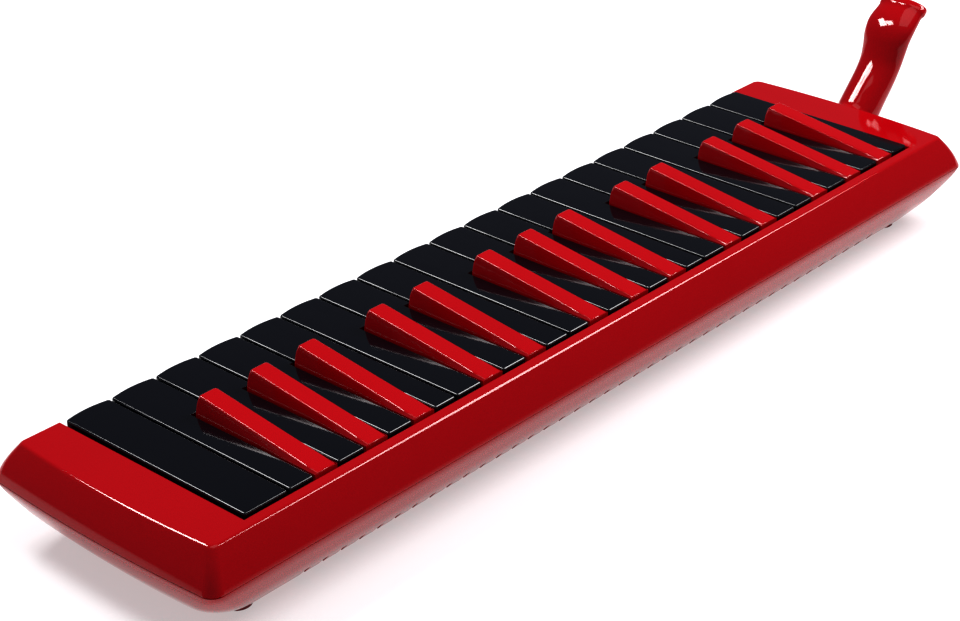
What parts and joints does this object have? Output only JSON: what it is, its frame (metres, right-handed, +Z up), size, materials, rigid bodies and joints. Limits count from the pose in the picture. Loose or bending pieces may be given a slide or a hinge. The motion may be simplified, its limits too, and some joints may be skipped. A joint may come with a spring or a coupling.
{
  "type": "melodica",
  "caption": "Breath-blown free-reed keyboard: a red two-part case with black naturals and red sharps on a common axle, reeds and valves inside, and a curved push-fit mouthpiece.",
  "frame": {"origin": "on the table plane, under the middle of the bounding box, mouthpiece included", "axes": "+X along the keyboard toward the high notes, +Y toward the rear rail behind the keys, +Z up"},
  "size_m": [0.4916, 0.115, 0.0764],
  "materials": {
    "case_red": "high gloss, moulded",
    "key_red": "gloss, moulded",
    "key_black": "gloss, moulded",
    "inner_plastic": "matt, moulded",
    "reed_brass": "milled",
    "steel": "bright",
    "foot_rubber": "matt",
    "black_rubber": "matt",
    "felt": "pressed felt"
  },
  "bodies": {
    "case": {"case_top": "case_red", "case_bottom": "case_red", "valve_board": "inner_plastic", "chamber_cover": "inner_plastic", "inlet_socket": "inner_plastic", "reed_plate_low": "reed_brass", "reed_plate_high": "reed_brass", "key_axle": "steel", "spring_comb": "steel", "spit_valve_spring": "steel", "case_screw_1": "steel", "case_screw_2": "steel", "case_screw_3": "steel", "case_screw_4": "steel", "board_screw_1": "steel", "board_screw_2": "steel", "foot_1": "foot_rubber", "foot_2": "foot_rubber", "foot_3": "foot_rubber", "foot_4": "foot_rubber", "chamber_gasket": "black_rubber", "key_stop_felt": "felt"},
    "key_F3": {"key_F3": "key_black"},
    "key_G3": {"key_G3": "key_black"},
    "key_A3": {"key_A3": "key_black"},
    "key_B3": {"key_B3": "key_black"},
    "key_C4": {"key_C4": "key_black"},
    "key_D4": {"key_D4": "key_black"},
    "key_E4": {"key_E4": "key_black"},
    "key_F4": {"key_F4": "key_black"},
    "key_G4": {"key_G4": "key_black"},
    "key_A4": {"key_A4": "key_black"},
    "key_B4": {"key_B4": "key_black"},
    "key_C5": {"key_C5": "key_black"},
    "key_D5": {"key_D5": "key_black"},
    "key_E5": {"key_E5": "key_black"},
    "key_F5": {"key_F5": "key_black"},
    "key_G5": {"key_G5": "key_black"},
    "key_A5": {"key_A5": "key_black"},
    "key_B5": {"key_B5": "key_black"},
    "key_C6": {"key_C6": "key_black"},
    "key_Fs3": {"key_Fs3": "key_red"},
    "key_Gs3": {"key_Gs3": "key_red"},
    "key_As3": {"key_As3": "key_red"},
    "key_Cs4": {"key_Cs4": "key_red"},
    "key_Ds4": {"key_Ds4": "key_red"},
    "key_Fs4": {"key_Fs4": "key_red"},
    "key_Gs4": {"key_Gs4": "key_red"},
    "key_As4": {"key_As4": "key_red"},
    "key_Cs5": {"key_Cs5": "key_red"},
    "key_Ds5": {"key_Ds5": "key_red"},
    "key_Fs5": {"key_Fs5": "key_red"},
    "key_Gs5": {"key_Gs5": "key_red"},
    "key_As5": {"key_As5": "key_red"},
    "mouthpiece_collar": {"mouthpiece_seal": "black_rubber"},
    "mouthpiece": {"mouthpiece": "case_red"},
    "spit_valve": {"spit_valve_button": "case_red", "spit_valve_seal": "black_rubber"}
  },
  "joints": [
    {"name": "press_F3", "type": "hinge", "parent": "case", "child": "key_F3", "pos_m": [0.0222, 0.0225, 0.029], "axis": [1, 0, 0], "range_deg": [0, 3.4], "stiffness_Nm_per_rad": 0.15, "springref_deg": -8.59},
    {"name": "press_G3", "type": "hinge", "parent": "case", "child": "key_G3", "pos_m": [0.0222, 0.0225, 0.029], "axis": [1, 0, 0], "range_deg": [0, 3.4], "stiffness_Nm_per_rad": 0.15, "springref_deg": -8.59},
    {"name": "press_A3", "type": "hinge", "parent": "case", "child": "key_A3", "pos_m": [0.0222, 0.0225, 0.029], "axis": [1, 0, 0], "range_deg": [0, 3.4], "stiffness_Nm_per_rad": 0.15, "springref_deg": -8.59},
    {"name": "press_B3", "type": "hinge", "parent": "case", "child": "key_B3", "pos_m": [0.0222, 0.0225, 0.029], "axis": [1, 0, 0], "range_deg": [0, 3.4], "stiffness_Nm_per_rad": 0.15, "springref_deg": -8.59},
    {"name": "press_C4", "type": "hinge", "parent": "case", "child": "key_C4", "pos_m": [0.0222, 0.0225, 0.029], "axis": [1, 0, 0], "range_deg": [0, 3.4], "stiffness_Nm_per_rad": 0.15, "springref_deg": -8.59},
    {"name": "press_D4", "type": "hinge", "parent": "case", "child": "key_D4", "pos_m": [0.0222, 0.0225, 0.029], "axis": [1, 0, 0], "range_deg": [0, 3.4], "stiffness_Nm_per_rad": 0.15, "springref_deg": -8.59},
    {"name": "press_E4", "type": "hinge", "parent": "case", "child": "key_E4", "pos_m": [0.0222, 0.0225, 0.029], "axis": [1, 0, 0], "range_deg": [0, 3.4], "stiffness_Nm_per_rad": 0.15, "springref_deg": -8.59},
    {"name": "press_F4", "type": "hinge", "parent": "case", "child": "key_F4", "pos_m": [0.0222, 0.0225, 0.029], "axis": [1, 0, 0], "range_deg": [0, 3.4], "stiffness_Nm_per_rad": 0.15, "springref_deg": -8.59},
    {"name": "press_G4", "type": "hinge", "parent": "case", "child": "key_G4", "pos_m": [0.0222, 0.0225, 0.029], "axis": [1, 0, 0], "range_deg": [0, 3.4], "stiffness_Nm_per_rad": 0.15, "springref_deg": -8.59},
    {"name": "press_A4", "type": "hinge", "parent": "case", "child": "key_A4", "pos_m": [0.0222, 0.0225, 0.029], "axis": [1, 0, 0], "range_deg": [0, 3.4], "stiffness_Nm_per_rad": 0.15, "springref_deg": -8.59},
    {"name": "press_B4", "type": "hinge", "parent": "case", "child": "key_B4", "pos_m": [0.0222, 0.0225, 0.029], "axis": [1, 0, 0], "range_deg": [0, 3.4], "stiffness_Nm_per_rad": 0.15, "springref_deg": -8.59},
    {"name": "press_C5", "type": "hinge", "parent": "case", "child": "key_C5", "pos_m": [0.0222, 0.0225, 0.029], "axis": [1, 0, 0], "range_deg": [0, 3.4], "stiffness_Nm_per_rad": 0.15, "springref_deg": -8.59},
    {"name": "press_D5", "type": "hinge", "parent": "case", "child": "key_D5", "pos_m": [0.0222, 0.0225, 0.029], "axis": [1, 0, 0], "range_deg": [0, 3.4], "stiffness_Nm_per_rad": 0.15, "springref_deg": -8.59},
    {"name": "press_E5", "type": "hinge", "parent": "case", "child": "key_E5", "pos_m": [0.0222, 0.0225, 0.029], "axis": [1, 0, 0], "range_deg": [0, 3.4], "stiffness_Nm_per_rad": 0.15, "springref_deg": -8.59},
    {"name": "press_F5", "type": "hinge", "parent": "case", "child": "key_F5", "pos_m": [0.0222, 0.0225, 0.029], "axis": [1, 0, 0], "range_deg": [0, 3.4], "stiffness_Nm_per_rad": 0.15, "springref_deg": -8.59},
    {"name": "press_G5", "type": "hinge", "parent": "case", "child": "key_G5", "pos_m": [0.0222, 0.0225, 0.029], "axis": [1, 0, 0], "range_deg": [0, 3.4], "stiffness_Nm_per_rad": 0.15, "springref_deg": -8.59},
    {"name": "press_A5", "type": "hinge", "parent": "case", "child": "key_A5", "pos_m": [0.0222, 0.0225, 0.029], "axis": [1, 0, 0], "range_deg": [0, 3.4], "stiffness_Nm_per_rad": 0.15, "springref_deg": -8.59},
    {"name": "press_B5", "type": "hinge", "parent": "case", "child": "key_B5", "pos_m": [0.0222, 0.0225, 0.029], "axis": [1, 0, 0], "range_deg": [0, 3.4], "stiffness_Nm_per_rad": 0.15, "springref_deg": -8.59},
    {"name": "press_C6", "type": "hinge", "parent": "case", "child": "key_C6", "pos_m": [0.0222, 0.0225, 0.029], "axis": [1, 0, 0], "range_deg": [0, 3.4], "stiffness_Nm_per_rad": 0.15, "springref_deg": -8.59},
    {"name": "press_Fs3", "type": "hinge", "parent": "case", "child": "key_Fs3", "pos_m": [0.0222, 0.0225, 0.029], "axis": [1, 0, 0], "range_deg": [0, 3.4], "stiffness_Nm_per_rad": 0.15, "springref_deg": -8.59},
    {"name": "press_Gs3", "type": "hinge", "parent": "case", "child": "key_Gs3", "pos_m": [0.0222, 0.0225, 0.029], "axis": [1, 0, 0], "range_deg": [0, 3.4], "stiffness_Nm_per_rad": 0.15, "springref_deg": -8.59},
    {"name": "press_As3", "type": "hinge", "parent": "case", "child": "key_As3", "pos_m": [0.0222, 0.0225, 0.029], "axis": [1, 0, 0], "range_deg": [0, 3.4], "stiffness_Nm_per_rad": 0.15, "springref_deg": -8.59},
    {"name": "press_Cs4", "type": "hinge", "parent": "case", "child": "key_Cs4", "pos_m": [0.0222, 0.0225, 0.029], "axis": [1, 0, 0], "range_deg": [0, 3.4], "stiffness_Nm_per_rad": 0.15, "springref_deg": -8.59},
    {"name": "press_Ds4", "type": "hinge", "parent": "case", "child": "key_Ds4", "pos_m": [0.0222, 0.0225, 0.029], "axis": [1, 0, 0], "range_deg": [0, 3.4], "stiffness_Nm_per_rad": 0.15, "springref_deg": -8.59},
    {"name": "press_Fs4", "type": "hinge", "parent": "case", "child": "key_Fs4", "pos_m": [0.0222, 0.0225, 0.029], "axis": [1, 0, 0], "range_deg": [0, 3.4], "stiffness_Nm_per_rad": 0.15, "springref_deg": -8.59},
    {"name": "press_Gs4", "type": "hinge", "parent": "case", "child": "key_Gs4", "pos_m": [0.0222, 0.0225, 0.029], "axis": [1, 0, 0], "range_deg": [0, 3.4], "stiffness_Nm_per_rad": 0.15, "springref_deg": -8.59},
    {"name": "press_As4", "type": "hinge", "parent": "case", "child": "key_As4", "pos_m": [0.0222, 0.0225, 0.029], "axis": [1, 0, 0], "range_deg": [0, 3.4], "stiffness_Nm_per_rad": 0.15, "springref_deg": -8.59},
    {"name": "press_Cs5", "type": "hinge", "parent": "case", "child": "key_Cs5", "pos_m": [0.0222, 0.0225, 0.029], "axis": [1, 0, 0], "range_deg": [0, 3.4], "stiffness_Nm_per_rad": 0.15, "springref_deg": -8.59},
    {"name": "press_Ds5", "type": "hinge", "parent": "case", "child": "key_Ds5", "pos_m": [0.0222, 0.0225, 0.029], "axis": [1, 0, 0], "range_deg": [0, 3.4], "stiffness_Nm_per_rad": 0.15, "springref_deg": -8.59},
    {"name": "press_Fs5", "type": "hinge", "parent": "case", "child": "key_Fs5", "pos_m": [0.0222, 0.0225, 0.029], "axis": [1, 0, 0], "range_deg": [0, 3.4], "stiffness_Nm_per_rad": 0.15, "springref_deg": -8.59},
    {"name": "press_Gs5", "type": "hinge", "parent": "case", "child": "key_Gs5", "pos_m": [0.0222, 0.0225, 0.029], "axis": [1, 0, 0], "range_deg": [0, 3.4], "stiffness_Nm_per_rad": 0.15, "springref_deg": -8.59},
    {"name": "press_As5", "type": "hinge", "parent": "case", "child": "key_As5", "pos_m": [0.0222, 0.0225, 0.029], "axis": [1, 0, 0], "range_deg": [0, 3.4], "stiffness_Nm_per_rad": 0.15, "springref_deg": -8.59},
    {"name": "mouthpiece_pull", "type": "slide", "parent": "case", "child": "mouthpiece_collar", "axis": [-1, 0, 0], "range_m": [0, 0.02]},
    {"name": "mouthpiece_turn", "type": "hinge", "parent": "mouthpiece_collar", "child": "mouthpiece", "pos_m": [-0.1928, -0.005, 0.0265], "axis": [1, 0, 0], "range_deg": [-90, 90]},
    {"name": "spit_valve_push", "type": "slide", "parent": "case", "child": "spit_valve", "axis": [1, 0, 0], "range_m": [0, 0.002], "stiffness_N_per_m": 300, "springref_m": -0.002, "deforming": ["spit_valve_spring"]}
  ]
}
